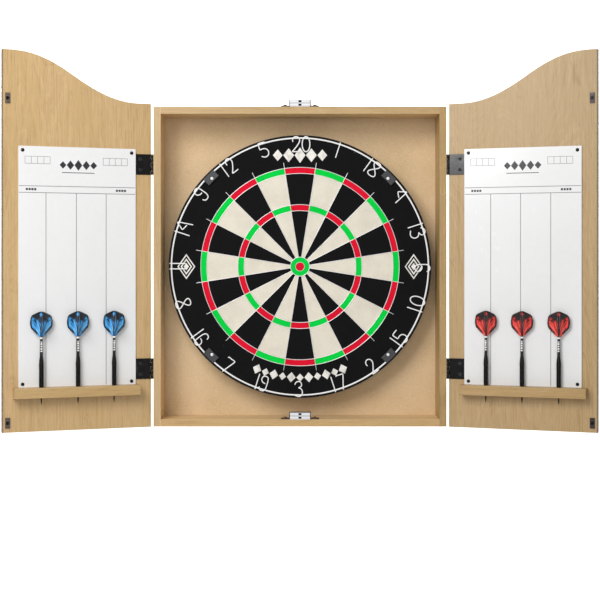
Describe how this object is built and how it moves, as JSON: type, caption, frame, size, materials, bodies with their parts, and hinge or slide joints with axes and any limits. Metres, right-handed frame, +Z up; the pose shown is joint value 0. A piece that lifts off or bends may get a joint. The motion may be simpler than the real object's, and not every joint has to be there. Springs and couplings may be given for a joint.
{
  "type": "dart board cabinet",
  "caption": "Wall-hung wooden cabinet holding a bristle dart board, with two arched hinged doors that carry scoreboards and darts.",
  "frame": {"origin": "centre of the four wall holes on the back face, at the height of the bull", "axes": "+X to the right seen from the front, +Z up, +Y into the wall, so the front faces -Y"},
  "size_m": [0.9876, 0.1734, 0.6344],
  "materials": {
    "frame_wood": "clear-lacquered light wood veneer, satin",
    "door_wood": "clear-lacquered light wood veneer, satin",
    "rail_wood": "lacquered solid wood, satin",
    "mdf_back": "raw brown fibreboard, matte",
    "black_steel": "black plated steel, satin",
    "zinc_steel": "zinc-plated steel",
    "strike_steel": "plain steel, dull",
    "magnet_block": "sintered ferrite, dull",
    "catch_plastic": "moulded white plastic",
    "score_panel": "dry-wipe white laminate, glossy",
    "chipboard": "pressed wood board, matte",
    "sisal": "compressed sisal fibre, dyed, matte",
    "band_steel": "black painted steel strip, satin",
    "spider_wire": "bright galvanised wire",
    "ring_wire": "white coated wire, semi-gloss",
    "clip_steel": "dark grey painted steel, satin",
    "bright_screw": "bright plated steel",
    "rubber_black": "moulded rubber, matte",
    "barrel_metal": "black coated brass, satin",
    "stem_plastic": "moulded black plastic",
    "flight_blue": "printed film, glossy blue",
    "flight_red": "printed film, glossy red"
  },
  "bodies": {
    "cabinet": {"top_panel": "frame_wood", "bottom_panel": "frame_wood", "left_side_panel": "frame_wood", "right_side_panel": "frame_wood", "back_panel": "mdf_back", "corner_brackets": "black_steel", "corner_bracket_screws": "black_steel", "cabinet_hinge_leaves": "black_steel", "hinge_pins": "black_steel", "cabinet_hinge_screws": "black_steel", "catch_housings": "catch_plastic", "catch_pole_plates": "zinc_steel", "catch_magnets": "magnet_block", "catch_screws": "black_steel", "board_bracket": "zinc_steel", "board_bracket_screws": "zinc_steel"},
    "dartboard": {"board_backing": "chipboard", "rim_band": "band_steel", "sisal_bed": "sisal", "spider": "spider_wire", "number_ring": "ring_wire", "ring_clips": "clip_steel", "clip_screws": "bright_screw", "centre_bolt": "zinc_steel", "rubber_spacers": "rubber_black"},
    "left_door": {"left_door_panel": "door_wood", "left_door_hinge_leaves": "black_steel", "left_door_hinge_screws": "black_steel", "left_scoreboard": "score_panel", "left_scoreboard_screws": "black_steel", "left_dart_rail": "rail_wood", "left_strike_plates": "strike_steel", "left_strike_screws": "black_steel"},
    "left_dart_1": {"left_dart_1_barrel": "barrel_metal", "left_dart_1_shaft": "stem_plastic", "left_dart_1_flight": "flight_blue"},
    "left_dart_2": {"left_dart_2_barrel": "barrel_metal", "left_dart_2_shaft": "stem_plastic", "left_dart_2_flight": "flight_blue"},
    "left_dart_3": {"left_dart_3_barrel": "barrel_metal", "left_dart_3_shaft": "stem_plastic", "left_dart_3_flight": "flight_blue"},
    "right_door": {"right_door_panel": "door_wood", "right_door_hinge_leaves": "black_steel", "right_door_hinge_screws": "black_steel", "right_scoreboard": "score_panel", "right_scoreboard_screws": "black_steel", "right_dart_rail": "rail_wood", "right_strike_plates": "strike_steel", "right_strike_screws": "black_steel"},
    "right_dart_1": {"right_dart_1_barrel": "barrel_metal", "right_dart_1_shaft": "stem_plastic", "right_dart_1_flight": "flight_red"},
    "right_dart_2": {"right_dart_2_barrel": "barrel_metal", "right_dart_2_shaft": "stem_plastic", "right_dart_2_flight": "flight_red"},
    "right_dart_3": {"right_dart_3_barrel": "barrel_metal", "right_dart_3_shaft": "stem_plastic", "right_dart_3_flight": "flight_red"}
  },
  "joints": [
    {"name": "dartboard_spin", "type": "hinge", "parent": "cabinet", "child": "dartboard", "pos_m": [0, -0.0085, 0], "axis": [0, -1, 0], "continuous": true},
    {"name": "left_door_hinge", "type": "hinge", "parent": "cabinet", "child": "left_door", "pos_m": [-0.2526, -0.0759, 0], "axis": [0, 0, 1], "range_deg": [-20, 160]},
    {"name": "left_dart_1_lift", "type": "slide", "parent": "left_door", "child": "left_dart_1", "axis": [0, 0, 1], "range_m": [0, 0.04]},
    {"name": "left_dart_2_lift", "type": "slide", "parent": "left_door", "child": "left_dart_2", "axis": [0, 0, 1], "range_m": [0, 0.04]},
    {"name": "left_dart_3_lift", "type": "slide", "parent": "left_door", "child": "left_dart_3", "axis": [0, 0, 1], "range_m": [0, 0.04]},
    {"name": "right_door_hinge", "type": "hinge", "parent": "cabinet", "child": "right_door", "pos_m": [0.2526, -0.0759, 0], "axis": [0, 0, -1], "range_deg": [-20, 160]},
    {"name": "right_dart_1_lift", "type": "slide", "parent": "right_door", "child": "right_dart_1", "axis": [0, 0, 1], "range_m": [0, 0.04]},
    {"name": "right_dart_2_lift", "type": "slide", "parent": "right_door", "child": "right_dart_2", "axis": [0, 0, 1], "range_m": [0, 0.04]},
    {"name": "right_dart_3_lift", "type": "slide", "parent": "right_door", "child": "right_dart_3", "axis": [0, 0, 1], "range_m": [0, 0.04]}
  ]
}
